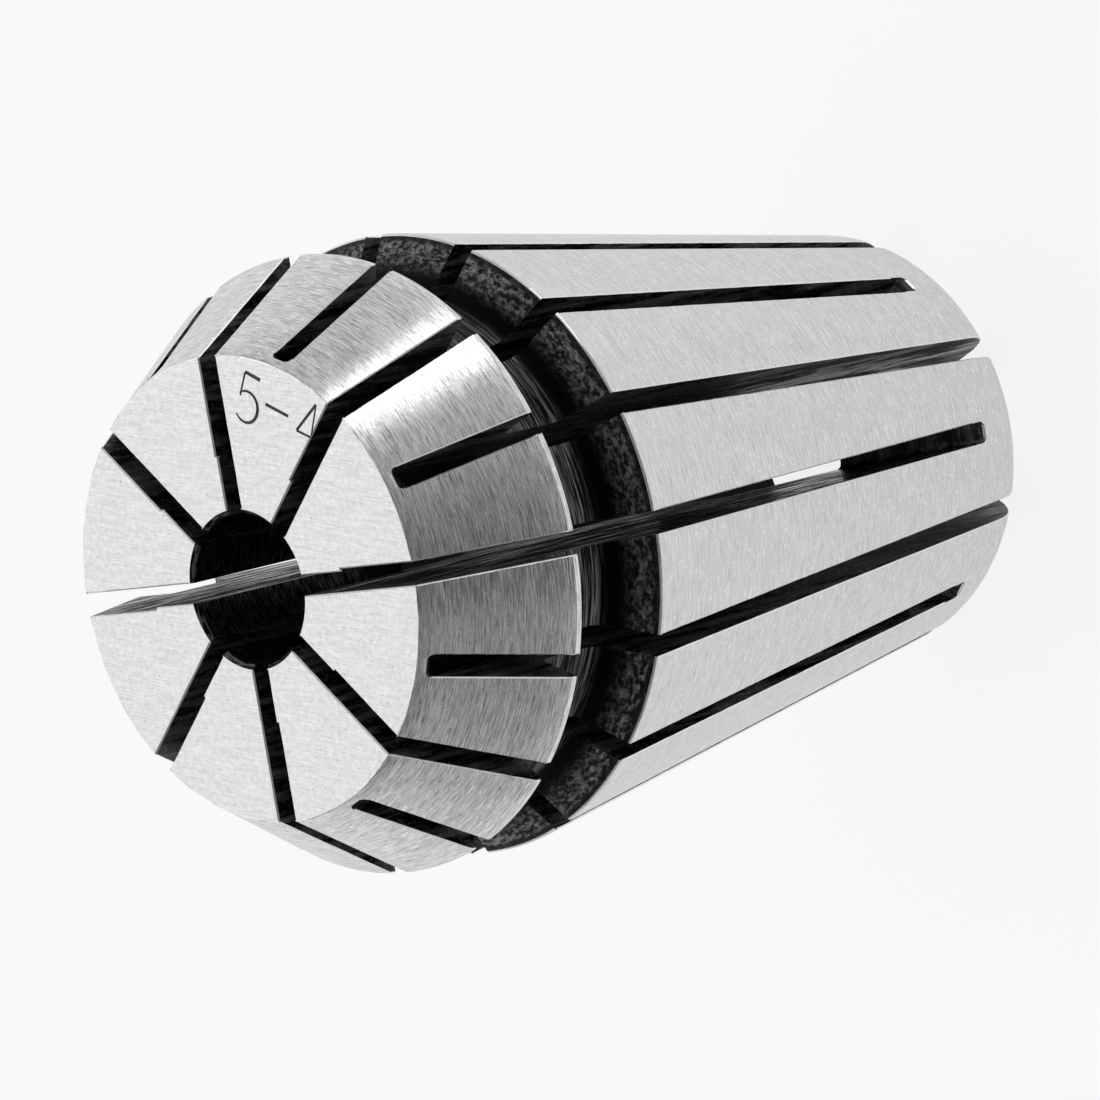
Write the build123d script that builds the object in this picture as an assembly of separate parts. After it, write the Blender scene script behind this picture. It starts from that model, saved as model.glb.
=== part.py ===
from build123d import *
from math import radians, sqrt, tan
import os

# A double-angle spring collet in the 20 mm ER size, bored for 5 mm and slit from both ends.
# It stands on its small rear end: the origin is the centre of the rear face, and +Z runs
# along the axis to the front face. Lengths are millimetres and angles are degrees.

# Clamping taper, the long cone that seats in the tool holder
COLLET_LENGTH = 31.5         # rear face to front face
GAUGE_DIA = 21.0             # largest diameter, at the front edge of the clamping taper
TAPER_HALF_ANGLE = 8.0       # between the taper's side and the axis
REAR_EDGE_RADIUS = 1.9       # rounded edge that leads the collet into the holder

# Nose cone, pressed by the clamping nut
NOSE_LENGTH = 4.7            # front face to the back wall of the nose ring
NOSE_RING_STEP = 0.1         # how much less the ring's radius is than the clamping taper's
NOSE_HALF_ANGLE = 30.0       # between the nose's side and the axis

# Extraction groove, where the nut's eccentric ring snaps in
GROOVE_DIA = 17.4            # across the groove floor
GROOVE_FLOOR_WIDTH = 2.8     # nose ring to the foot of the sloping wall
GROOVE_WALL_ANGLE = 30.0     # the sloping wall's lean from square to the axis
GROOVE_CORNER_RADIUS = 0.25  # at both corners of the groove floor

# Bore
BORE_DIA = 5.0               # largest shank that the collet grips
BORE_LENGTH = 17.5           # gripping length, from the front face
BORE_MOUTH_BREAK = 0.15      # chamfer at the front of the bore
RELIEF_WALL = 2.77           # rear end of the taper to the wider bore behind the gripping length
RELIEF_CONE_ANGLE = 59.0     # the step between the bores, as a drill point leaves it
RELIEF_MOUTH_CHAMFER = 0.7   # at the rear end of the wider bore

# Slots, sawn alternately from the front and from the rear
SLOT_COUNT = 8               # from each end
SLOT_WIDTH = 0.76            # between the walls, in the outer part of the slot
SLOT_STEP = 0.09             # how much one wall steps in towards the slot near the bore
SLOT_STEP_DIA = 8.8          # where that wall steps in
SAW_DIA = 40.0               # the saw leaves the round end wall of each slot
SAW_OVERCUT = 0.7            # how far the saw's rim comes into the bore
FRONT_SLOT_WEB = 2.8         # rear face to the front slots' ends, on the taper
REAR_SLOT_WEB = 0.3          # front face to the rear slots' ends, on the nose cone

EDGE_BREAK = 0.08            # chamfer on the turned outer edges
CUT_MARGIN = 1.0             # how far a cutter reaches past what it cuts

# Places that follow from the sizes above: radii, and heights over the rear face
BORE_RADIUS = BORE_DIA / 2
GROOVE_RADIUS = GROOVE_DIA / 2
GAUGE_RADIUS = GAUGE_DIA / 2
RING_RADIUS = GAUGE_RADIUS - NOSE_RING_STEP
FACE_RADIUS = RING_RADIUS - NOSE_LENGTH * tan(radians(NOSE_HALF_ANGLE))
RING_Z = COLLET_LENGTH - NOSE_LENGTH
GROOVE_FOOT_Z = RING_Z - GROOVE_FLOOR_WIDTH
GAUGE_Z = GROOVE_FOOT_Z - (GAUGE_RADIUS - GROOVE_RADIUS) * tan(radians(GROOVE_WALL_ANGLE))
BORE_END_Z = COLLET_LENGTH - BORE_LENGTH
SAW_RADIUS = SAW_DIA / 2
SAW_FLOOR_RADIUS = BORE_RADIUS - SAW_OVERCUT
SAW_CENTRE_RADIUS = SAW_FLOOR_RADIUS + SAW_RADIUS


def taper_radius(z):
    """Radius of the clamping taper at a height over the rear face."""
    return GAUGE_RADIUS - (GAUGE_Z - z) * tan(radians(TAPER_HALF_ANGLE))


def nose_radius(depth):
    """Radius of the nose cone at a depth behind the front face."""
    return FACE_RADIUS + depth * tan(radians(NOSE_HALF_ANGLE))


def saw_reach(radius):
    """How far the saw's rim runs on past the saw's centre, at a radius of the collet."""
    return sqrt(SAW_RADIUS**2 - (SAW_CENTRE_RADIUS - radius) ** 2)


def corner(profile, point):
    """The corner of a flat profile that lies nearest to a point."""
    return profile.vertices().sort_by_distance((*point, 0))[0]


def turned_profile():
    """Half section of the collet before slitting: across is the radius, up is the axis."""
    relief_radius = taper_radius(0) - RELIEF_WALL
    relief_top_z = BORE_END_Z - (relief_radius - BORE_RADIUS) / tan(radians(RELIEF_CONE_ANGLE))
    rear_corner = (taper_radius(0), 0)
    gauge_corner = (GAUGE_RADIUS, GAUGE_Z)
    groove_foot = (GROOVE_RADIUS, GROOVE_FOOT_Z)
    groove_root = (GROOVE_RADIUS, RING_Z)
    ring_corner = (RING_RADIUS, RING_Z)
    face_corner = (FACE_RADIUS, COLLET_LENGTH)
    bore_corner = (BORE_RADIUS, COLLET_LENGTH)
    relief_corner = (relief_radius, 0)
    profile = make_face(
        Polyline(
            rear_corner,
            gauge_corner,
            groove_foot,
            groove_root,
            ring_corner,
            face_corner,
            bore_corner,
            (BORE_RADIUS, BORE_END_Z),
            (relief_radius, relief_top_z),
            relief_corner,
            close=True,
        )
    )
    profile = fillet(corner(profile, rear_corner), REAR_EDGE_RADIUS)
    for point in (groove_foot, groove_root):
        profile = fillet(corner(profile, point), GROOVE_CORNER_RADIUS)
    for point in (gauge_corner, ring_corner, face_corner):
        profile = chamfer(corner(profile, point), EDGE_BREAK)
    profile = chamfer(corner(profile, bore_corner), BORE_MOUTH_BREAK)
    return chamfer(corner(profile, relief_corner), RELIEF_MOUTH_CHAMFER)


def saw_outline(open_z, stop_z, inner_radius):
    """The saw's sweep seen from the side, out from a radius: past one end, and in to stop_z."""
    outer_radius = GAUGE_RADIUS + CUT_MARGIN
    middle_radius = (inner_radius + outer_radius) / 2
    width = outer_radius - inner_radius
    run = Pos(middle_radius, (open_z + stop_z) / 2) * Rectangle(width, abs(open_z - stop_z))
    rim = Pos(SAW_CENTRE_RADIUS, stop_z) * Circle(SAW_RADIUS)
    band = Pos(middle_radius, stop_z) * Rectangle(width, SAW_DIA)
    return run + (rim & band)


def slot_cutter(open_z, stop_z):
    """One slot along +X: full width outside, with one wall stepped in near the bore."""
    outer_outline = Plane.XZ * saw_outline(open_z, stop_z, SLOT_STEP_DIA / 2)
    inner_outline = Plane.XZ * saw_outline(open_z, stop_z, SAW_FLOOR_RADIUS)
    outer = extrude(outer_outline, SLOT_WIDTH / 2, both=True)
    inner = extrude(inner_outline, (SLOT_WIDTH - SLOT_STEP) / 2, both=True)
    return outer + Pos(0, -SLOT_STEP / 2, 0) * inner


def front_slot():
    """A slot sawn in from the front face, ending short of the rear face."""
    stop_z = FRONT_SLOT_WEB + saw_reach(taper_radius(FRONT_SLOT_WEB))
    return slot_cutter(COLLET_LENGTH + CUT_MARGIN, stop_z)


def rear_slot():
    """A slot sawn in from the rear face, ending on the nose cone just behind the front face."""
    stop_z = COLLET_LENGTH - REAR_SLOT_WEB - saw_reach(nose_radius(REAR_SLOT_WEB))
    return slot_cutter(-CUT_MARGIN, stop_z)


def collet_body():
    """The whole collet: the turned blank less its two interleaved rings of slots."""
    blank = revolve(Plane.XZ * turned_profile(), Axis.Z)
    spacing = 360 / SLOT_COUNT
    front_places = PolarLocations(0, SLOT_COUNT)
    rear_places = PolarLocations(0, SLOT_COUNT, start_angle=spacing / 2)
    cutters = [place * front_slot() for place in front_places]
    cutters += [place * rear_slot() for place in rear_places]
    return blank - cutters


os.makedirs("parts", exist_ok=True)
export_step(collet_body(), "parts/collet_body.step")
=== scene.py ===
from math import asin, cos, pi, radians, sin, sqrt, tan

import bpy
from mathutils import Matrix, Vector


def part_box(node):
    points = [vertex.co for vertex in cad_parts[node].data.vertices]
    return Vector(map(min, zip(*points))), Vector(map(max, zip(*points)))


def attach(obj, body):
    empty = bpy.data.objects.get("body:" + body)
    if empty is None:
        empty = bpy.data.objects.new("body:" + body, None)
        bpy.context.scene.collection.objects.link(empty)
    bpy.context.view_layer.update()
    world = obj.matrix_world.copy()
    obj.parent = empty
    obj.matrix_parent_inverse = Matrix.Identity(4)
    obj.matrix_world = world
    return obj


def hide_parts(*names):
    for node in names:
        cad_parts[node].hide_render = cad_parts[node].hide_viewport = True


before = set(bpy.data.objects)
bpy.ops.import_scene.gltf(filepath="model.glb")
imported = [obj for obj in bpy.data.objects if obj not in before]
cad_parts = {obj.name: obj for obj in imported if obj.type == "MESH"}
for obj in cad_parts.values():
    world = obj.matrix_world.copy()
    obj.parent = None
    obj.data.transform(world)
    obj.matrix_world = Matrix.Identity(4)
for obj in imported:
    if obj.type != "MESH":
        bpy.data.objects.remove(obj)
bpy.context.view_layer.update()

bl_info = {
    "name": "Spring collet",
    "version": (1, 0, 0),
    "blender": (4, 5, 0),
    "location": "3D View > Sidebar > Collet",
    "description": "Dresses a slit spring collet in ground steel and black oxide, on a pale stage",
    "category": "Add Mesh",
}

# Millimetres and degrees, unless a name or a property says otherwise. The axis is Z, the rear
# face is z = 0, and a slot sawn from the front lies along +X.
MILLIMETRE = 0.001
NODE_NAME = "collet_body"
BODY_NAME = "root"
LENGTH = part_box(NODE_NAME)[1][2] / MILLIMETRE


class ColletSizes(bpy.types.PropertyGroup):
    """Sizes of the collet, in millimetres and degrees."""

    gauge_dia: bpy.props.FloatProperty(
        name="Gauge diameter", description="Largest diameter, at the front of the long taper", default=21.0
    )
    taper_half_angle: bpy.props.FloatProperty(
        name="Taper half angle", description="Angle of the long taper to the axis", default=8.0
    )
    rear_edge_radius: bpy.props.FloatProperty(
        name="Rear edge radius", description="Rounding of the small end", default=1.9
    )
    nose_length: bpy.props.FloatProperty(
        name="Nose length", description="Front face to the groove", default=4.82
    )
    nose_ring_step: bpy.props.FloatProperty(
        name="Nose ring step", description="The nose ring's radius is less than the taper's by this",
        default=0.029,
    )
    nose_half_angle: bpy.props.FloatProperty(
        name="Nose half angle", description="Angle of the nose cone to the axis", default=30.0
    )
    groove_dia: bpy.props.FloatProperty(
        name="Groove diameter", description="Across the floor of the extraction groove", default=17.4
    )
    groove_floor_width: bpy.props.FloatProperty(
        name="Groove floor width", description="Nose ring to the foot of the sloping wall", default=2.63
    )
    groove_wall_angle: bpy.props.FloatProperty(
        name="Groove wall angle", description="Lean of the groove's rear wall from square", default=30.0
    )
    groove_corner_radius: bpy.props.FloatProperty(
        name="Groove corner radius", description="Rounding behind the nose ring", default=0.25
    )
    groove_foot_radius: bpy.props.FloatProperty(
        name="Groove foot radius", description="Rounding at the foot of the sloping wall", default=0.9
    )
    bore_dia: bpy.props.FloatProperty(
        name="Bore diameter", description="Gripping bore", default=5.0
    )
    bore_length: bpy.props.FloatProperty(
        name="Bore length", description="Gripping length from the front face", default=17.5
    )
    bore_mouth_break: bpy.props.FloatProperty(
        name="Bore mouth break", description="Chamfer at the front of the bore", default=0.15
    )
    relief_wall: bpy.props.FloatProperty(
        name="Relief wall", description="Wall at the rear end of the taper", default=2.77
    )
    relief_cone_angle: bpy.props.FloatProperty(
        name="Relief cone angle", description="Step between the two bores, to the axis", default=59.0
    )
    relief_mouth_chamfer: bpy.props.FloatProperty(
        name="Relief mouth chamfer", description="Chamfer at the rear of the relief bore", default=0.7
    )
    face_edge_radius: bpy.props.FloatProperty(
        name="Face edge radius", description="Rounding between the front face and the nose", default=0.06
    )
    ring_land_depth: bpy.props.FloatProperty(
        name="Ring land depth", description="How far the ring's narrow land lies inside its corner",
        default=0.141,
    )
    gauge_land_width: bpy.props.FloatProperty(
        name="Gauge land width", description="Narrow cylindrical land at the front of the taper", default=0.16
    )
    ring_edge_radius: bpy.props.FloatProperty(
        name="Ring edge radius", description="Rounding on both sides of the ring's land", default=0.06
    )
    gauge_edge_radius: bpy.props.FloatProperty(
        name="Gauge edge radius", description="Rounding at the front of the long taper", default=0.13
    )


class SlotSizes(bpy.types.PropertyGroup):
    """Sizes of the sawn slots, in millimetres."""

    count: bpy.props.IntProperty(
        name="Slots per end", description="Slots sawn from each end", default=8, min=2
    )
    width: bpy.props.FloatProperty(
        name="Slot width", description="Between the walls, in the outer part", default=0.76
    )
    step: bpy.props.FloatProperty(
        name="Slot step", description="How much one wall steps in near the bore", default=0.09
    )
    step_dia: bpy.props.FloatProperty(
        name="Slot step diameter", description="Where that wall steps in", default=8.8
    )
    saw_dia: bpy.props.FloatProperty(
        name="Saw diameter", description="The saw leaves the round end of each slot", default=40.0
    )
    saw_overcut: bpy.props.FloatProperty(
        name="Saw overcut", description="How far the saw comes into the bore", default=0.7
    )
    saw_corner: bpy.props.FloatProperty(
        name="Saw tooth corner", description="Rounding of the saw's rim, left in each slot's end",
        default=0.18,
    )
    front_web: bpy.props.FloatProperty(
        name="Front slots' web", description="Rear face to the front slots' ends", default=2.8
    )
    rear_web: bpy.props.FloatProperty(
        name="Rear slots' web", description="Front face to the rear slots' ends", default=0.3
    )
    burnish: bpy.props.FloatProperty(
        name="Burnished edge", description="Bright chamfer along the slots' edges", default=0.06
    )


class ColletFinish(bpy.types.PropertyGroup):
    """Colours of the collet's surfaces, as a finish meets the eye in plain light."""

    ground: bpy.props.FloatVectorProperty(
        name="Ground steel", description="Cones and front face", subtype="COLOR", size=3,
        default=(0.78, 0.78, 0.775), min=0.0, max=1.0,
    )
    # Brighter than the ground steel: partly burnished metal, partly a painted highlight on the slot chamfers
    burnished: bpy.props.FloatVectorProperty(
        name="Burnished edge", description="Chamfers along the slots", subtype="COLOR", size=3,
        default=(0.92, 0.92, 0.92), min=0.0, max=1.0,
    )
    oxide: bpy.props.FloatVectorProperty(
        name="Black oxide", description="Groove and bores", subtype="COLOR", size=3,
        default=(0.10, 0.10, 0.102), min=0.0, max=1.0,
    )
    sawn: bpy.props.FloatVectorProperty(
        name="Sawn wall", description="Inside the slots", subtype="COLOR", size=3,
        default=(0.07, 0.07, 0.072), min=0.0, max=1.0,
    )


class StudioSettings(bpy.types.PropertyGroup):
    """The camera's place and the brightness of the studio."""

    camera_place: bpy.props.FloatVectorProperty(
        name="Camera place", description="Millimetres in the collet's frame", size=3,
        default=(160.374, 15.880, 183.093),
    )
    camera_aim: bpy.props.FloatVectorProperty(
        name="Camera aim", description="A point at the middle of the view", size=3,
        default=(7.157, -0.381, 24.648),
    )
    camera_up: bpy.props.FloatVectorProperty(
        name="Camera up", description="The view's upward direction: the collet lies across it", size=3,
        default=(0.07077, 0.98302, -0.16931),
    )
    lens: bpy.props.FloatProperty(
        name="Lens", description="Focal length in millimetres on a 36 mm frame", default=223.06
    )
    bright_side: bpy.props.FloatVectorProperty(
        name="Bright side", description="Where the room is brightest", size=3, default=(-0.75, -0.05, 0.65)
    )
    bright_level: bpy.props.FloatProperty(
        name="Bright level", description="The room's light on its bright side", default=0.98, min=0.0
    )
    dim_level: bpy.props.FloatProperty(
        name="Dim level", description="The room's light on its dim side", default=0.18, min=0.0
    )
    side_level: bpy.props.FloatProperty(
        name="Side level", description="Added to the room's light on the key lamp's side",
        default=0.22, min=0.0,
    )
    floor_in_steel: bpy.props.FloatProperty(
        name="Floor in steel", description="How bright the plain floor looks in the steel",
        default=0.80, min=0.0, max=1.0,
    )
    floor_white: bpy.props.FloatProperty(
        name="Floor white", description="How far the floor is plain white; the rest keeps the shadow",
        default=0.85, min=0.0, max=1.0,
    )
    key_power: bpy.props.FloatProperty(
        name="Key power", description="Of the lamp whose streak shows on the nose, in watts",
        default=0.08, min=0.0,
    )
    ceiling_power: bpy.props.FloatProperty(
        name="Ceiling power", description="Of the wide lamp overhead, in watts", default=1.0, min=0.0
    )


# ---------------------------------------------------------------------------- node expressions


class Wire:
    """One output socket of a node, used as a value in a Python expression."""

    def __init__(self, builder, socket):
        self.builder = builder
        self.socket = socket

    def _math(self, operation, *values):
        return self.builder.node("ShaderNodeMath", {"operation": operation}, dict(enumerate(values)))

    def __add__(self, other):
        return self._math("ADD", self, other)

    def __radd__(self, other):
        return self._math("ADD", other, self)

    def __sub__(self, other):
        return self._math("SUBTRACT", self, other)

    def __rsub__(self, other):
        return self._math("SUBTRACT", other, self)

    def __mul__(self, other):
        return self._math("MULTIPLY", self, other)

    def __rmul__(self, other):
        return self._math("MULTIPLY", other, self)

    def __truediv__(self, other):
        return self._math("DIVIDE", self, other)

    def __neg__(self):
        return self._math("MULTIPLY", self, -1.0)

    def __lt__(self, other):
        return self._math("LESS_THAN", self, other)

    def __gt__(self, other):
        return self._math("GREATER_THAN", self, other)

    def __mod__(self, other):
        return self._math("FLOORED_MODULO", self, other)

    def sqrt(self):
        return self._math("SQRT", self)

    def sin(self):
        return self._math("SINE", self)

    def cos(self):
        return self._math("COSINE", self)

    def floor(self):
        return self._math("FLOOR", self)

    def round(self):
        return self._math("ROUND", self)

    def clamp(self, low=0.0, high=1.0):
        return self._math("MINIMUM", self._math("MAXIMUM", self, low), high)

    def smooth(self, low, high):
        """0 below low, 1 above high, and a smooth step between."""
        return self.builder.node(
            "ShaderNodeMapRange", {"interpolation_type": "SMOOTHSTEP"}, {0: self, 1: low, 2: high}
        )


class NodeBuilder:
    """Adds nodes to one tree, each from its type, its settings and what feeds its sockets."""

    def __init__(self, tree):
        self.tree = tree

    def node(self, kind, settings=None, inputs=None, output=0):
        node = self.tree.nodes.new(kind)
        for name, value in (settings or {}).items():
            setattr(node, name, value)
        for key, value in (inputs or {}).items():
            self._feed(node.inputs[key], value)
        return Wire(self, node.outputs[output])

    def _feed(self, socket, value):
        if isinstance(value, list):
            for wire in value:
                self.tree.links.new(wire.socket, socket)
        elif isinstance(value, Wire):
            self.tree.links.new(value.socket, socket)
        else:
            socket.default_value = value

    def axes(self, vector):
        """The three numbers of a vector."""
        separate = self.node("ShaderNodeSeparateXYZ", inputs={0: vector}).socket.node
        return [Wire(self, socket) for socket in separate.outputs]

    def vector(self, x, y, z):
        return self.node("ShaderNodeCombineXYZ", inputs={0: x, 1: y, 2: z})

    def join(self, *geometries):
        return self.node("GeometryNodeJoinGeometry", inputs={0: list(geometries)})

    def mix(self, low, high, share):
        """A value between two others."""
        return low + (high - low) * share


def geometry_tree(name, sockets):
    """A Geometry Nodes tree with named inputs: its builder, and the inputs by name."""
    tree = bpy.data.node_groups.new(name, "GeometryNodeTree")
    tree.interface.new_socket("Geometry", in_out="OUTPUT", socket_type="NodeSocketGeometry")
    for label, kind in sockets.items():
        tree.interface.new_socket(label, in_out="INPUT", socket_type="NodeSocket" + kind)
    builder = NodeBuilder(tree)
    source = tree.nodes.new("NodeGroupInput")
    return builder, {label: Wire(builder, source.outputs[label]) for label in sockets}


def close_tree(builder, geometry):
    """Ends a tree: its geometry is made real and handed on."""
    real = builder.node("GeometryNodeRealizeInstances", inputs={0: geometry})
    sink = builder.tree.nodes.new("NodeGroupOutput")
    builder.tree.links.new(real.socket, sink.inputs[0])


def made_by_tree(obj, tree, values):
    """The plain mesh that a tree makes of an object, with the tree's inputs set."""
    modifier = obj.modifiers.new(tree.name, "NODES")
    modifier.node_group = tree
    for item in tree.interface.items_tree:
        if item.in_out == "INPUT" and item.name in values:
            modifier[item.identifier] = values[item.name]
    obj.update_tag()
    evaluated = obj.evaluated_get(bpy.context.evaluated_depsgraph_get())
    mesh = bpy.data.meshes.new_from_object(evaluated)
    obj.modifiers.remove(modifier)
    return mesh


# ---------------------------------------------------------------------------- turned outline

# What each stretch of the outline is, kept on its edges for the slots' chamfers and the finishes
FACE_INNER, FACE_OUTER, NOSE_TIP, NOSE, TAPER, REAR, ROUNDED, GROOVE, INSIDE = range(9)


def step(start, end, distance):
    """The point at a distance from one point towards another."""
    return start + (end - start).normalized() * distance


def bend(before, point, after, size, steps):
    """A corner's points: broken by a chamfer for 1 step, or rounded to a radius for more."""
    if steps == 0:
        return [point]
    if steps == 1:
        return [step(point, before, size), step(point, after, size)]
    incoming = (point - before).normalized()
    outgoing = (after - point).normalized()
    turn = incoming.angle(outgoing)
    reach = size * tan(turn / 2)
    side = Vector((-incoming.y, incoming.x))
    if side.dot(outgoing) < 0:
        side = -side
    start = point - incoming * reach
    centre = start + side * size
    points = []
    for k in range(steps + 1):
        angle = turn * k / steps
        points.append(centre - side * (size * cos(angle)) + incoming * (size * sin(angle)))
    return points


def turned_outline(sizes, slots):
    """The half section before slitting, as (radius, height, what follows) in millimetres."""
    lean = tan(radians(sizes.taper_half_angle))
    flare = tan(radians(sizes.nose_half_angle))
    gauge_r = sizes.gauge_dia / 2
    ring_r = gauge_r - sizes.nose_ring_step
    face_r = ring_r - sizes.nose_length * flare
    groove_r = sizes.groove_dia / 2
    ring_z = LENGTH - sizes.nose_length
    foot_z = ring_z - sizes.groove_floor_width
    gauge_z = foot_z - (gauge_r - groove_r) * tan(radians(sizes.groove_wall_angle))
    rear_r = gauge_r - gauge_z * lean
    relief_r = rear_r - sizes.relief_wall
    bore_r = sizes.bore_dia / 2
    bore_z = LENGTH - sizes.bore_length
    cone_z = bore_z - (relief_r - bore_r) / tan(radians(sizes.relief_cone_angle))
    nose_end = slots.rear_web + slots.saw_corner
    taper_end = slots.front_web + slots.width * ROD_STOP
    land_r = ring_r - sizes.ring_land_depth
    land_z = ring_z + sizes.ring_land_depth / flare
    gauge_land_r = gauge_r - sizes.gauge_land_width * lean
    # corner, its size and steps, what the corner is, what the run after it is, and that run's rows
    stations = [
        ((bore_r, LENGTH), sizes.bore_mouth_break, 1, INSIDE, FACE_INNER, 2),
        ((slots.step_dia / 2, LENGTH), 0, 0, FACE_OUTER, FACE_OUTER, 3),
        ((face_r, LENGTH), sizes.face_edge_radius, 3, ROUNDED, NOSE_TIP, 1),
        ((face_r + nose_end * flare, LENGTH - nose_end), 0, 0, NOSE, NOSE, 5),
        ((land_r, land_z), sizes.ring_edge_radius, 2, NOSE, NOSE, 1),
        ((land_r, ring_z), sizes.ring_edge_radius, 3, ROUNDED, GROOVE, 2),
        ((groove_r, ring_z), sizes.groove_corner_radius, 3, GROOVE, GROOVE, 3),
        ((groove_r, foot_z), sizes.groove_foot_radius, 7, GROOVE, GROOVE, 2),
        ((gauge_land_r, gauge_z), sizes.gauge_edge_radius, 4, ROUNDED, TAPER, 1),
        ((gauge_land_r, gauge_z - sizes.gauge_land_width), 0, 0, TAPER, TAPER, 16),
        ((gauge_r - (gauge_z - taper_end) * lean, taper_end), 0, 0, REAR, REAR, 1),
        ((rear_r, 0.0), sizes.rear_edge_radius, 10, REAR, REAR, 2),
        ((relief_r, 0.0), sizes.relief_mouth_chamfer, 1, REAR, INSIDE, 6),
        ((relief_r, cone_z), 0, 0, INSIDE, INSIDE, 1),
        ((bore_r, bore_z), 0, 0, INSIDE, INSIDE, 9),
    ]
    corners = []
    for k, (point, size, steps, _, _, _) in enumerate(stations):
        before = Vector(stations[k - 1][0])
        after = Vector(stations[(k + 1) % len(stations)][0])
        corners.append(bend(before, Vector(point), after, size, steps))
    outline = []
    for k, (_, _, _, corner_zone, zone, rows) in enumerate(stations):
        for point in corners[k][:-1]:
            outline.append((point.x, point.y, corner_zone))
        start = corners[k][-1]
        end = corners[(k + 1) % len(corners)][0]
        for row in range(rows):
            point = start.lerp(end, row / rows)
            outline.append((point.x, point.y, zone))
    return outline


def outline_object(name, outline):
    """The outline as a closed line in the XZ plane, with its zones and outward directions."""
    count = len(outline)
    points = [Vector((r, 0.0, z)) for r, z, _ in outline]
    edges = [(k, (k + 1) % count) for k in range(count)]
    mesh = bpy.data.meshes.new(name)
    mesh.from_pydata(points, edges, [])
    zones = mesh.attributes.new("zone", "INT", "EDGE")
    zones.data.foreach_set("value", [zone for _, _, zone in outline])
    outward = mesh.attributes.new("outward", "FLOAT_VECTOR", "POINT")
    for k in range(count):
        along = (points[(k + 1) % count] - points[k]).normalized()
        along += (points[k] - points[k - 1]).normalized()
        outward.data[k].vector = Vector((-along.z, 0.0, along.x)).normalized()
    obj = bpy.data.objects.new(name, mesh)
    bpy.context.scene.collection.objects.link(obj)
    return obj


# ---------------------------------------------------------------------------- slit body's tree

SAW_COLUMNS = 30
SAW_INNER_COLUMNS = 7
SAW_ROWS = 15
# The lathe's columns are turned by this share of a segment. Unturned, they lie exactly in the
# slots' middle planes, where the chamfer rods run, and at some sizes the boolean has stalled.
SEAM_TURN = 0.37
# Crumbs that the cuts leave loose have a handful of points; the body has tens of thousands
SMALLEST_PIECE = 50.0
MERGE_DISTANCE = 0.0002
# The taper's rods stop this many slot widths short of a slot's end, clear of its sloping end wall
ROD_STOP = 0.9
ROD_LIFT = 0.012
ROD_CUTS = 5


def named(build, name, kind="INT"):
    return build.node("GeometryNodeInputNamedAttribute", {"data_type": kind}, {"Name": name})


def lathe(build, outline, segments):
    """The outline turned about Z, its zones kept on the faces."""
    edges = build.node(
        "GeometryNodeAttributeDomainSize", {"component": "MESH"}, {0: outline}, "Edge Count"
    )
    grid = build.node(
        "GeometryNodeMeshGrid", inputs={"Vertices X": segments + 1, "Vertices Y": edges + 1}
    )
    index = build.node("GeometryNodeInputIndex")
    column = (index / (edges + 1)).floor()
    row = (index % (edges + 1)) % edges
    place = build.node(
        "GeometryNodeSampleIndex", {"data_type": "FLOAT_VECTOR", "domain": "POINT"},
        {0: outline, "Value": build.node("GeometryNodeInputPosition"), "Index": row},
    )
    radius, _, height = build.axes(place)
    angle = (column + SEAM_TURN) * (-2 * pi) / segments
    turned = build.node(
        "GeometryNodeSetPosition",
        inputs={0: grid, "Position": build.vector(radius * angle.cos(), radius * angle.sin(), height)},
    )
    zone = build.node(
        "GeometryNodeSampleIndex", {"data_type": "INT", "domain": "EDGE"},
        {0: outline, "Value": named(build, "zone"), "Index": index % edges},
    )
    zoned = build.node(
        "GeometryNodeStoreNamedAttribute", {"data_type": "INT", "domain": "FACE"},
        {0: turned, "Name": "zone", "Value": zone},
    )
    return build.node("GeometryNodeMergeByDistance", inputs={0: zoned, "Distance": MERGE_DISTANCE})


def saw_sweep(build, sizes, left_step, right_step, stop, open_z):
    """What one saw cut takes away along +X: two walls, and the saw's round rim as the end."""
    block = build.node(
        "GeometryNodeMeshCube",
        inputs={"Vertices X": SAW_COLUMNS, "Vertices Y": SAW_ROWS, "Vertices Z": 2},
    )
    x, y, z = build.axes(build.node("GeometryNodeInputPosition"))
    column = ((x + 0.5) * (SAW_COLUMNS - 1)).round()
    outer_columns = SAW_COLUMNS - SAW_INNER_COLUMNS
    inner = column < SAW_INNER_COLUMNS - 0.5
    inner_r = build.mix(sizes["Saw Inside"], sizes["Step Radius"], column / (SAW_INNER_COLUMNS - 1))
    share = (column - SAW_INNER_COLUMNS) / (outer_columns - 1)
    outer_r = build.mix(sizes["Step Radius"] + 0.02, sizes["Saw Outside"], share)
    radius = build.mix(outer_r, inner_r, inner)
    left = left_step * inner - sizes["Slot Width"] / 2
    right = sizes["Slot Width"] / 2 - right_step * inner
    across = build.mix(left, right, y + 0.5)
    to_wall = build.node(
        "ShaderNodeMath", {"operation": "MINIMUM"}, {0: across - left, 1: right - across}
    )
    tooth = sizes["Tooth Corner"]
    short = (tooth - to_wall).clamp(0.0, 1.0)
    rounding = tooth - (tooth * tooth - short * short).clamp(0.0, 1.0).sqrt()
    off_centre = sizes["Saw Centre"] - radius
    reach = (sizes["Saw Radius"] * sizes["Saw Radius"] - off_centre * off_centre).sqrt()
    height = build.mix(stop - reach + rounding, open_z, z + 0.5)
    return build.node(
        "GeometryNodeSetPosition", inputs={0: block, "Position": build.vector(radius, across, height)}
    )


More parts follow.
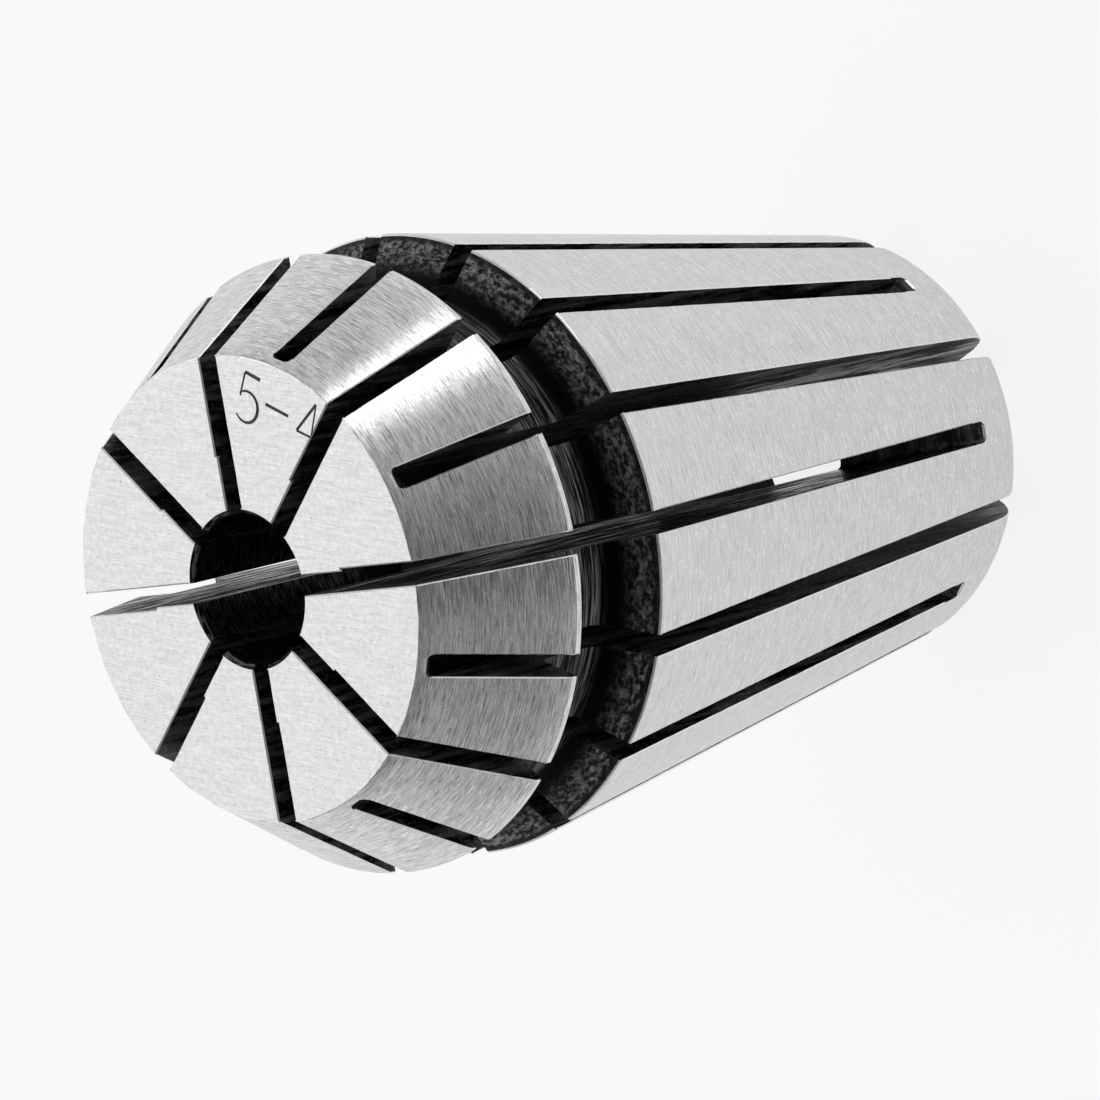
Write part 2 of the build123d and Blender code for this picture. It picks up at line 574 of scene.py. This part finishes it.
def chamfer_sweep(build, sizes, outline, zones, half_width, aside):
    """A square rod on edge, laid along the outline where a slot is to come."""
    zone = named(build, "zone")
    chosen = (zone > zones[0] - 0.5) * (zone < zones[-1] + 0.5)
    path = build.node("GeometryNodeMeshToCurve", inputs={0: outline, "Selection": chosen})
    path = build.node("GeometryNodeSubdivideCurve", inputs={0: path, "Cuts": ROD_CUTS})
    outward = named(build, "outward", "FLOAT_VECTOR")
    lift = build.node("ShaderNodeVectorMath", {"operation": "SCALE"}, {0: outward, "Scale": ROD_LIFT})
    sideways = build.node(
        "ShaderNodeVectorMath", {"operation": "ADD"}, {0: lift, 1: build.vector(0.0, aside, 0.0)}
    )
    path = build.node("GeometryNodeSetPosition", inputs={0: path, "Offset": sideways})
    profile = build.node(
        "GeometryNodeCurvePrimitiveCircle", {"mode": "RADIUS"}, {"Resolution": 4, "Radius": 1.0}
    )
    return build.node(
        "GeometryNodeCurveToMesh",
        inputs={0: path, 1: profile, "Scale": half_width + sizes["Burnish"], "Fill Caps": True},
    )


def end_sweep(build, sizes, radius, height):
    """A short rod on edge across the round end of a slot, where it comes out of the surface."""
    half = sizes["Slot Width"] / 2 - sizes["Tooth Corner"] * 0.7
    line = build.node(
        "GeometryNodeCurvePrimitiveLine", {"mode": "POINTS"},
        {"Start": build.vector(radius, 0.0 - half, height), "End": build.vector(radius, half, height)},
    )
    profile = build.node(
        "GeometryNodeCurvePrimitiveCircle", {"mode": "RADIUS"}, {"Resolution": 6, "Radius": 1.0}
    )
    return build.node(
        "GeometryNodeCurveToMesh",
        inputs={0: line, 1: profile, "Scale": sizes["Burnish"] * 1.1, "Fill Caps": True},
    )


def around(build, geometry, count, first_turn):
    """A cutter repeated about Z."""
    places = build.node("GeometryNodeMeshLine", {"mode": "OFFSET"}, {"Count": count, "Offset": (0, 0, 0)})
    index = build.node("GeometryNodeInputIndex")
    turn = build.node(
        "FunctionNodeEulerToRotation",
        inputs={0: build.vector(0.0, 0.0, (index + first_turn) * (2 * pi) / count)},
    )
    return build.node(
        "GeometryNodeInstanceOnPoints", inputs={0: places, "Instance": geometry, "Rotation": turn}
    )


def ragged(build, rods, amount):
    """Chamfer rods made real and jogged in and out, as a hand-broken edge is uneven."""
    real = build.node("GeometryNodeRealizeInstances", inputs={0: rods})
    place = build.node("GeometryNodeInputPosition")
    noise = build.node(
        "ShaderNodeTexNoise", {"noise_dimensions": "3D"},
        {"Vector": place, "Scale": 1.73, "Detail": 3.0, "Roughness": 0.6},
    )
    from_middle = build.node(
        "ShaderNodeVectorMath", {"operation": "SUBTRACT"}, {0: place, 1: (0.0, 0.0, LENGTH * 0.6)}
    )
    outward = build.node("ShaderNodeVectorMath", {"operation": "NORMALIZE"}, {0: from_middle})
    jog = build.node(
        "ShaderNodeVectorMath", {"operation": "SCALE"},
        {0: outward, "Scale": (noise - 0.5) * amount},
    )
    return build.node("GeometryNodeSetPosition", inputs={0: real, "Offset": jog})


def with_material(build, geometry, material, selection=True):
    return build.node(
        "GeometryNodeSetMaterial", inputs={0: geometry, "Selection": selection, "Material": material}
    )


def slit_collet_tree():
    """The turned blank less its two interleaved rings of saw cuts, their chamfers and the size mark."""
    build, given = geometry_tree(
        "Slit collet",
        {
            "Geometry": "Geometry",
            "Size Mark": "Object",
            "Segments": "Int",
            "Slots": "Int",
            "Slot Width": "Float",
            "Slot Step": "Float",
            "Step Radius": "Float",
            "Saw Radius": "Float",
            "Saw Centre": "Float",
            "Saw Inside": "Float",
            "Saw Outside": "Float",
            "Tooth Corner": "Float",
            "Front Stop": "Float",
            "Front End Radius": "Float",
            "Front End Height": "Float",
            "Rear Stop": "Float",
            "Rear End Radius": "Float",
            "Rear End Height": "Float",
            "Length": "Float",
            "Burnish": "Float",
            "Raggedness": "Float",
            "Face Steel": "Material",
            "Cone Steel": "Material",
            "Burnished Steel": "Material",
            "Black Oxide": "Material",
            "Sawn Wall": "Material",
            "Stamped Line": "Material",
        },
    )
    outline, slots = given["Geometry"], given["Slots"]
    blank = lathe(build, outline, given["Segments"])
    zone = named(build, "zone")
    blank = with_material(build, blank, given["Black Oxide"])
    blank = with_material(build, blank, given["Cone Steel"], zone < GROOVE - 0.5)
    blank = with_material(build, blank, given["Face Steel"], zone < NOSE_TIP - 0.5)

    step_in = given["Slot Step"]
    half = given["Slot Width"] / 2
    front = saw_sweep(build, given, 0.0 * step_in, step_in, given["Front Stop"], given["Length"] + 1)
    rear = saw_sweep(build, given, step_in, 0.0 * step_in, -given["Rear Stop"], 1.0 + 0.0 * step_in)
    rear = build.node("GeometryNodeTransform", inputs={0: rear, "Rotation": (pi, 0.0, 0.0)})
    cuts = build.join(around(build, front, slots, 0.0), around(build, rear, slots, 0.5))
    cuts = with_material(build, cuts, given["Sawn Wall"])

    front_rods = build.join(
        chamfer_sweep(build, given, outline, (FACE_INNER,), half - step_in / 2, -step_in / 2),
        chamfer_sweep(build, given, outline, (FACE_OUTER,), half, 0.0),
        chamfer_sweep(build, given, outline, (NOSE_TIP, NOSE), half, 0.0),
        chamfer_sweep(build, given, outline, (TAPER,), half, 0.0),
        end_sweep(build, given, given["Front End Radius"], given["Front End Height"]),
    )
    rear_rods = build.join(
        chamfer_sweep(build, given, outline, (NOSE,), half, 0.0),
        chamfer_sweep(build, given, outline, (TAPER, REAR), half, 0.0),
        end_sweep(build, given, given["Rear End Radius"], given["Rear End Height"]),
    )
    rods = build.join(around(build, front_rods, slots, 0.0), around(build, rear_rods, slots, 0.5))
    rods = with_material(build, ragged(build, rods, given["Raggedness"]), given["Burnished Steel"])

    strokes = build.node("GeometryNodeObjectInfo", inputs={0: given["Size Mark"]}, output="Geometry")
    strokes = build.node("GeometryNodeMeshToCurve", inputs={0: strokes})
    bead = build.node(
        "GeometryNodeCurvePrimitiveCircle", {"mode": "RADIUS"}, {"Resolution": 8, "Radius": 1.0}
    )
    strokes = build.node(
        "GeometryNodeCurveToMesh",
        inputs={0: strokes, 1: bead, "Scale": named(build, "weight", "FLOAT"), "Fill Caps": True},
    )
    island = build.node("GeometryNodeInputMeshIsland")
    strokes = build.node(
        "GeometryNodeSplitToInstances", {"domain": "POINT"}, {0: strokes, "Group ID": island}
    )
    strokes = with_material(build, strokes, given["Stamped Line"])

    cut = build.node(
        "GeometryNodeMeshBoolean", {"operation": "DIFFERENCE", "solver": "MANIFOLD"},
        {0: blank, 1: [rods, cuts, strokes]},
    )
    island_points = build.node(
        "GeometryNodeAccumulateField", {"data_type": "INT", "domain": "POINT"},
        {"Value": 1, "Group ID": build.node("GeometryNodeInputMeshIsland")}, "Total",
    )
    cut = build.node(
        "GeometryNodeDeleteGeometry", {"domain": "POINT"},
        {0: cut, "Selection": island_points < SMALLEST_PIECE},
    )
    metres = build.node(
        "GeometryNodeTransform", inputs={0: cut, "Scale": (MILLIMETRE, MILLIMETRE, MILLIMETRE)}
    )
    close_tree(build, metres)
    return build.tree


# ---------------------------------------------------------------------------- size mark

MARK_MIDDLE = Vector((2.8245, 5.673))
MARK_TURN = -27.0


def arc(centre, radius, start, end, count):
    """Points round a centre, in degrees anticlockwise."""
    points = []
    for k in range(count + 1):
        angle = radians(start + (end - start) * k / count)
        points.append((centre[0] + radius * cos(angle), centre[1] + radius * sin(angle)))
    return points


def size_mark_strokes():
    """The collet's size, 5-4 for 5 to 4 mm: each stroke's points, and its width at both ends."""
    bowl = arc((-1.335, -0.422), 0.52, 138.0, -137.0, 26)
    return [
        ([(-0.937, 0.672), (-1.635, 0.686)], 0.10, 0.09),
        ([(-1.635, 0.686), (-1.682, -0.151)], 0.065, 0.06),
        (bowl[:14], 0.05, 0.105),
        (bowl[13:], 0.105, 0.05),
        ([(-0.53, 0.0), (0.53, 0.0)], 0.085, 0.085),
        ([(1.60, 0.84), (0.975, -0.31)], 0.08, 0.08),
        ([(0.975, -0.31), (1.72, -0.29)], 0.065, 0.065),
        ([(1.60, 0.84), (1.64, -0.25)], 0.055, 0.055),
    ]


def size_mark_object(name):
    """The strokes as lines on the front face, with half their width kept at each point."""
    points, edges, weights = [], [], []
    turn = Matrix.Rotation(radians(MARK_TURN), 2)
    for stroke, first, last in size_mark_strokes():
        base = len(points)
        for k, place in enumerate(stroke):
            flat = MARK_MIDDLE + turn @ Vector(place)
            points.append((flat.x, flat.y, LENGTH + 0.004))
            weights.append((first + (last - first) * k / (len(stroke) - 1)) * 0.68)
        edges += [(base + k, base + k + 1) for k in range(len(stroke) - 1)]
    mesh = bpy.data.meshes.new(name)
    mesh.from_pydata(points, edges, [])
    mesh.attributes.new("weight", "FLOAT", "POINT").data.foreach_set("value", weights)
    obj = bpy.data.objects.new(name, mesh)
    bpy.context.scene.collection.objects.link(obj)
    return obj


# ---------------------------------------------------------------------------- finishes


def new_material(name, constants):
    """A material with one Principled shader, its steady values set on the shader's own sockets."""
    material = bpy.data.materials.new(name)
    material.use_nodes = True
    build = NodeBuilder(material.node_tree)
    shader = material.node_tree.nodes["Principled BSDF"]
    for socket, value in constants.items():
        shader.inputs[socket].default_value = value
    return material, build, shader


def grey(build, value):
    """A neutral colour from one number."""
    return build.node("ShaderNodeCombineColor", {"mode": "RGB"}, {0: value, 1: value, 2: value})


def places(build):
    """A surface point in millimetres, its radius, and its direction from the axis."""
    source = build.node("ShaderNodeTexCoord", output="Object")
    x, y, z = build.axes(source)
    x, y, z = x * 1000.0, y * 1000.0, z * 1000.0
    radius = (x * x + y * y + 0.0001).sqrt()
    return x, y, z, radius, x / radius, y / radius


def grain(build, u, v, w, detail=2.0, roughness=0.5, seed=0.0):
    """Noise from 0 to 1 over a stretched place, each of u, v and w already in turns per millimetre."""
    return build.node(
        "ShaderNodeTexNoise", {"noise_dimensions": "3D"},
        {
            "Vector": build.vector(u + seed * 7.3, v + seed * 3.1, w),
            "Scale": 1.0, "Detail": detail, "Roughness": roughness,
        },
    )


def bumped(build, shader, height, depth_mm):
    """Feeds the shader's normal from a height of 0 to 1, depth_mm deep."""
    normal = build.node(
        "ShaderNodeBump", inputs={"Strength": 1.0, "Distance": depth_mm * MILLIMETRE, "Height": height}
    )
    build.tree.links.new(normal.socket, shader.inputs["Normal"])


def coloured(build, shader, colour, shade):
    """Feeds the shader's colour: a colour darkened or lightened by a factor over the surface."""
    tint = build.node(
        "ShaderNodeVectorMath", {"operation": "SCALE"}, {0: tuple(colour), "Scale": shade}
    )
    build.tree.links.new(tint.socket, shader.inputs["Base Color"])


def ground_cone(colour):
    """Ground steel of the nose and the taper: fine streaks round the axis, specks and soft patches, its
    bright streaks partly the grinding's marks and partly painted glints.
    """
    material, build, shader = new_material(
        "ground cone",
        {"Metallic": 1.0, "Anisotropic": 0.7, "Anisotropic Rotation": 0.25},
    )
    x, y, z, _, nx, ny = places(build)
    nose = z.smooth(LENGTH - 7.0, LENGTH - 5.0)
    fine = grain(build, nx * 11.0, ny * 11.0, z * 24.0, 2.0, 0.6, 1.0)
    short = grain(build, nx * 20.0, ny * 20.0, z * 19.0, 1.5, 0.5, 2.0)
    patches = grain(build, x * 0.7, y * 0.7, z * 0.7, 3.0, 0.6, 3.0)
    specks = grain(build, x * 7.0, y * 7.0, z * 9.0, 1.0, 0.5, 4.0).smooth(0.62, 0.72)
    # Bright streaks: partly the grinding's own marks, partly painted glints that lift the colour as far as
    # 1.3 times, most on the nose
    bright = short.smooth(0.58, 0.70)
    dark = 1.0 - short.smooth(0.30, 0.42)
    shade = 1.0 + (fine - 0.5) * build.mix(0.8, 1.5, nose) + (patches - 0.5) * 0.12
    shade = shade + bright * build.mix(0.15, 0.8, nose) - dark * build.mix(0.14, 0.3, nose)
    coloured(build, shader, colour, (shade + specks * 0.22).clamp(0.2, 1.3))
    rough = 0.27 + (patches - 0.5) * 0.12 + (fine - 0.5) * 0.25 - bright * 0.08
    build.tree.links.new(rough.clamp(0.10, 0.7).socket, shader.inputs["Roughness"])
    bumped(build, shader, fine, 0.008)
    return material


def ground_face(colour):
    """Ground steel of the front face: fine straight scratches, a mottle and small pits."""
    material, build, shader = new_material("ground face", {"Metallic": 1.0})
    x, y, z, _, _, _ = places(build)
    along = x * 0.98 - y * 0.198
    across = x * 0.198 + y * 0.98
    scratches = grain(build, along * 0.8, across * 17.0, z * 0.0, 2.0, 0.6, 5.0)
    mottle = grain(build, x * 5.0, y * 5.0, z * 0.0, 3.0, 0.65, 6.0)
    pits = grain(build, x * 8.0, y * 8.0, z * 0.0, 1.0, 0.5, 7.0).smooth(0.69, 0.76)
    shade = 1.0 + (scratches - 0.5) * 0.60 + (mottle - 0.5) * 0.60 - pits * 0.40
    coloured(build, shader, colour, shade)
    rough = 0.34 + (mottle - 0.5) * 0.16 + (scratches - 0.5) * 0.16
    build.tree.links.new(rough.socket, shader.inputs["Roughness"])
    bumped(build, shader, scratches, 0.0015)
    return material


def burnished_edge(colour):
    """The chamfers that the deburring wheel left along the slots, brighter than the ground steel: partly
    burnished metal, partly a painted highlight.
    """
    material, build, shader = new_material("burnished edge", {"Metallic": 1.0})
    x, y, z, _, _, _ = places(build)
    wear = grain(build, x * 2.5, y * 2.5, z * 2.5, 3.0, 0.6, 8.0)
    # Painted highlight: the colour stands above the ground steel's and past white in places, partly burnished
    # metal, partly the light the chamfers catch
    coloured(build, shader, colour, 0.75 + wear * 0.5)
    build.tree.links.new((0.2 + wear * 0.2).socket, shader.inputs["Roughness"])
    return material


def black_oxide(colour):
    """The blackened groove and bores: turned lines on the floor, bright only in a painted strip of light
    behind the ring, and a dark slope that grows lighter towards its rim, partly specked crust and partly
    painted light.
    """
    material, build, shader = new_material("black oxide", {"Metallic": 1.0})
    _, _, z, radius, nx, ny = places(build)
    on_slope = (LENGTH - 7.2 - z).smooth(0.0, 0.4) * radius.smooth(8.5, 9.0)
    turned = grain(build, nx * 5.0, ny * 5.0, z * 16.0, 2.0, 0.6, 9.0)
    crust = grain(build, nx * 38.0, ny * 38.0, radius * 9.0, 2.5, 0.7, 10.0)
    pits = grain(build, nx * 34.0, ny * 34.0, radius * 6.0, 2.0, 0.6, 11.0).smooth(0.52, 0.62)
    outer = radius.smooth(9.2, 10.0)
    lip = radius.smooth(10.22, 10.30)
    # Slope: specked crust and a plain lift, both only towards the rim, except a thin band at the very edge,
    # partly real crust and partly painted light
    crust_and_painted_rim_light = (crust.smooth(0.42, 0.72) * 2.2 + pits * 1.3) * outer * (1.0 - lip * 0.8) + outer * 0.12
    # Painted light: the turned lines on the floor are bright only in this band behind the nose ring
    painted_light_behind_ring = (z - LENGTH + 8.2).smooth(0.0, 1.4)
    lit = build.mix(0.05 + turned.smooth(0.42, 0.62) * painted_light_behind_ring * 1.7, 0.05 + crust_and_painted_rim_light, on_slope)
    coloured(build, shader, colour, lit)
    build.tree.links.new((0.25 + crust * 0.25 + on_slope * 0.12).socket, shader.inputs["Roughness"])
    bumped(build, shader, crust * on_slope, 0.015)
    return material


def sawn_wall(colour):
    """The slots' walls: dark, with the saw's lines along them."""
    material, build, shader = new_material("sawn wall", {"Metallic": 0.6})
    x, y, z, radius, nx, ny = places(build)
    lines = grain(build, radius * 2.6, nx * 2.0 + ny * 3.0, z * 0.22, 4.0, 0.7, 12.0)
    bits = grain(build, x * 5.0, y * 5.0, z * 5.0, 2.0, 0.6, 13.0).smooth(0.56, 0.64)
    coloured(build, shader, colour, 0.15 + lines.smooth(0.42, 0.66) * 2.2 + bits * 1.2)
    build.tree.links.new((0.18 + lines.smooth(0.40, 0.64) * 0.55).socket, shader.inputs["Roughness"])
    bumped(build, shader, lines, 0.02)
    return material


def stamped_line(colour):
    """The dark, upset bottom of the stamped figures."""
    material, build, shader = new_material("stamped line", {"Metallic": 0.6, "Roughness": 0.6})
    x, y, z, _, _, _ = places(build)
    dirt = grain(build, x * 8.0, y * 8.0, z * 8.0, 2.0, 0.6, 14.0)
    coloured(build, shader, colour, 0.5 + dirt)
    return material


# ---------------------------------------------------------------------------- operators


class COLLET_OT_body(bpy.types.Operator):
    """Makes the slit collet and dresses it"""

    bl_idname = "collet.body"
    bl_label = "Collet Body"

    def execute(self, context):
        sizes = context.scene.collet_sizes
        slots = context.scene.collet_slots
        finish = context.scene.collet_finish
        outline = outline_object("collet_outline", turned_outline(sizes, slots))
        mark = size_mark_object("collet_size_mark")
        lean = tan(radians(sizes.taper_half_angle))
        flare = tan(radians(sizes.nose_half_angle))
        saw_r = slots.saw_dia / 2
        inside_r = sizes.bore_dia / 2 - slots.saw_overcut
        centre_r = inside_r + saw_r

        def reach(radius):
            return sqrt(saw_r**2 - (centre_r - radius) ** 2)

        ring_z = LENGTH - sizes.nose_length
        groove_depth = (sizes.gauge_dia - sizes.groove_dia) / 2
        gauge_z = ring_z - sizes.groove_floor_width - groove_depth * tan(radians(sizes.groove_wall_angle))
        front_end_r = sizes.gauge_dia / 2 - (gauge_z - slots.front_web) * lean
        face_r = sizes.gauge_dia / 2 - sizes.nose_ring_step - sizes.nose_length * flare
        rear_end_r = face_r + slots.rear_web * flare
        values = {
            "Size Mark": mark,
            "Segments": 320,
            "Slots": slots.count,
            "Slot Width": slots.width,
            "Slot Step": slots.step,
            "Step Radius": slots.step_dia / 2,
            "Saw Radius": saw_r,
            "Saw Centre": centre_r,
            "Saw Inside": inside_r + 0.4,
            "Saw Outside": sizes.gauge_dia / 2 + 1.0,
            "Tooth Corner": slots.saw_corner,
            "Front Stop": slots.front_web + reach(front_end_r),
            "Front End Radius": front_end_r,
            "Front End Height": slots.front_web,
            "Rear Stop": LENGTH - slots.rear_web - reach(rear_end_r),
            "Rear End Radius": rear_end_r,
            "Rear End Height": LENGTH - slots.rear_web,
            "Length": LENGTH,
            "Burnish": slots.burnish,
            "Raggedness": 0.05,
            "Face Steel": ground_face(finish.ground),
            "Cone Steel": ground_cone(finish.ground),
            "Burnished Steel": burnished_edge(finish.burnished),
            "Black Oxide": black_oxide(finish.oxide),
            "Sawn Wall": sawn_wall(finish.sawn),
            "Stamped Line": stamped_line(finish.oxide),
        }
        mesh = made_by_tree(outline, slit_collet_tree(), values)
        bpy.data.objects.remove(outline)
        bpy.data.objects.remove(mark)
        if len(mesh.polygons) < 1000:
            raise RuntimeError("the slit collet's tree made no body")
        mesh.name = "slit_collet"
        mesh.shade_smooth()
        mesh.set_sharp_from_angle(angle=radians(28.0))
        body = bpy.data.objects.new("slit_collet", mesh)
        context.scene.collection.objects.link(body)
        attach(body, BODY_NAME)
        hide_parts(NODE_NAME)
        return {"FINISHED"}


# A soft dark card off to the right of the nose, and how much of the room's light it holds back
DARK_CARD_SIDE = (0.94, 0.15, 0.30)
DARK_CARD_DEPTH = 0.10
FLOOR_RADIUS = 0.5
FLOOR_DROP = 0.00002
FLOOR_SIDES = 96


def soft_lamp(name, place, aim, size, power):
    """A square lamp, placed and aimed in metres."""
    light = bpy.data.lights.new(name, "AREA")
    light.shape = "RECTANGLE"
    light.size, light.size_y = size
    light.energy = power
    lamp = bpy.data.objects.new(name, light)
    bpy.context.scene.collection.objects.link(lamp)
    lamp.location = place
    lamp.rotation_euler = (Vector(aim) - Vector(place)).to_track_quat("-Z", "Y").to_euler()
    return lamp


def pale_room(studio):
    """A white backdrop, and soft light that is bright on one side of the object and dim on the other."""
    world = bpy.data.worlds.new("pale room")
    world.use_nodes = True
    build = NodeBuilder(world.node_tree)
    background = world.node_tree.nodes["Background"]
    toward = build.node("ShaderNodeTexCoord", output="Generated")
    side = Vector(studio.bright_side).normalized()
    facing = build.node(
        "ShaderNodeVectorMath", {"operation": "DOT_PRODUCT"}, {0: toward, 1: tuple(side)}, "Value"
    )
    _, sideways, _ = build.axes(toward)
    soft = build.mix(studio.dim_level, studio.bright_level, facing.smooth(0.40, 0.85))
    soft = soft + sideways.smooth(-0.2, 0.9) * studio.side_level
    card = Vector(DARK_CARD_SIDE).normalized()
    carded = build.node(
        "ShaderNodeVectorMath", {"operation": "DOT_PRODUCT"}, {0: toward, 1: tuple(card)}, "Value"
    )
    soft = soft - carded.smooth(0.80, 0.95) * DARK_CARD_DEPTH
    camera = build.node("ShaderNodeLightPath", output="Is Camera Ray")
    build.tree.links.new(grey(build, build.mix(soft, 1.0, camera)).socket, background.inputs["Color"])
    background.inputs["Strength"].default_value = 1.0
    return world


def pale_floor(studio):
    """A round plain floor: white to the camera, one pale level in the steel, and it keeps the shadow."""
    rim = []
    for k in range(FLOOR_SIDES):
        angle = 2 * pi * k / FLOOR_SIDES
        rim.append((FLOOR_RADIUS * cos(angle), FLOOR_RADIUS * sin(angle), -FLOOR_DROP))
    mesh = bpy.data.meshes.new("floor")
    mesh.from_pydata(rim, [], [list(range(FLOOR_SIDES))])
    floor = bpy.data.objects.new("floor", mesh)
    bpy.context.scene.collection.objects.link(floor)
    material, build, shader = new_material(
        "pale floor", {"Base Color": (0.86, 0.86, 0.86, 1.0), "Roughness": 0.9, "Specular IOR Level": 0.1}
    )
    camera = build.node("ShaderNodeLightPath", output="Is Camera Ray")
    glossy = build.node("ShaderNodeLightPath", output="Is Glossy Ray")
    level = build.mix(studio.floor_in_steel, 1.0, camera)
    glow = build.node("ShaderNodeEmission", inputs={"Color": grey(build, level), "Strength": 1.0})
    plain = Wire(build, shader.outputs[0])
    share = camera * studio.floor_white + glossy * studio.floor_white
    mixed = build.node("ShaderNodeMixShader", inputs={0: share, 1: plain, 2: glow})
    build.tree.links.new(mixed.socket, material.node_tree.nodes["Material Output"].inputs["Surface"])
    material.cycles.emission_sampling = "NONE"
    mesh.materials.append(material)
    return floor


class COLLET_OT_stage(bpy.types.Operator):
    """Sets the pale floor, the soft lamps and the camera"""

    bl_idname = "collet.stage"
    bl_label = "Stage and Camera"

    def execute(self, context):
        studio = context.scene.collet_studio
        context.scene.world = pale_room(studio)
        pale_floor(studio)
        key = Vector((0.347, 0.931, 0.15)).normalized() * 0.30 + Vector((0.0, 0.0, 0.027))
        soft_lamp("key lamp", key, (0.0, 0.0, 0.027), (0.12, 0.10), studio.key_power)
        fill = soft_lamp("ceiling lamp", (0.0, 0.0, 0.6), (0.0, 0.0, 0.0), (0.8, 0.8), studio.ceiling_power)
        fill.visible_glossy = False
        camera = bpy.data.cameras.new("camera")
        camera.lens = studio.lens
        camera.sensor_width = 36.0
        camera.clip_start, camera.clip_end = 0.01, 5.0
        view = bpy.data.objects.new("camera", camera)
        context.scene.collection.objects.link(view)
        place = Vector(studio.camera_place) * MILLIMETRE
        back = (place - Vector(studio.camera_aim) * MILLIMETRE).normalized()
        right = Vector(studio.camera_up).cross(back).normalized()
        up = back.cross(right)
        turned = Matrix((right, up, back)).transposed().to_4x4()
        turned.translation = place
        view.matrix_world = turned
        context.scene.camera = view
        context.scene.view_settings.view_transform = "Standard"
        return {"FINISHED"}


class COLLET_PT_panel(bpy.types.Panel):
    """Lists what the collet's scene is made of"""

    bl_label = "Spring Collet"
    bl_idname = "COLLET_PT_panel"
    bl_space_type = "VIEW_3D"
    bl_region_type = "UI"
    bl_category = "Collet"

    def draw(self, context):
        for group in (
            context.scene.collet_sizes,
            context.scene.collet_slots,
            context.scene.collet_finish,
            context.scene.collet_studio,
        ):
            box = self.layout.box()
            for name in group.__annotations__:
                box.prop(group, name)
        for operator in OPERATORS:
            self.layout.operator(operator.bl_idname)


SETTINGS = {
    "collet_sizes": ColletSizes,
    "collet_slots": SlotSizes,
    "collet_finish": ColletFinish,
    "collet_studio": StudioSettings,
}
OPERATORS = (COLLET_OT_body, COLLET_OT_stage)


def register():
    for group in SETTINGS.values():
        bpy.utils.register_class(group)
    for name, group in SETTINGS.items():
        setattr(bpy.types.Scene, name, bpy.props.PointerProperty(type=group))
    for operator in OPERATORS:
        bpy.utils.register_class(operator)
    bpy.utils.register_class(COLLET_PT_panel)


def unregister():
    bpy.utils.unregister_class(COLLET_PT_panel)
    for operator in reversed(OPERATORS):
        bpy.utils.unregister_class(operator)
    for name in SETTINGS:
        delattr(bpy.types.Scene, name)
    for group in reversed(SETTINGS.values()):
        bpy.utils.unregister_class(group)


def main():
    """Makes the pieces and the stage."""
    register()
    bpy.ops.collet.body()
    bpy.ops.collet.stage()


if __name__ == "__main__":
    main()
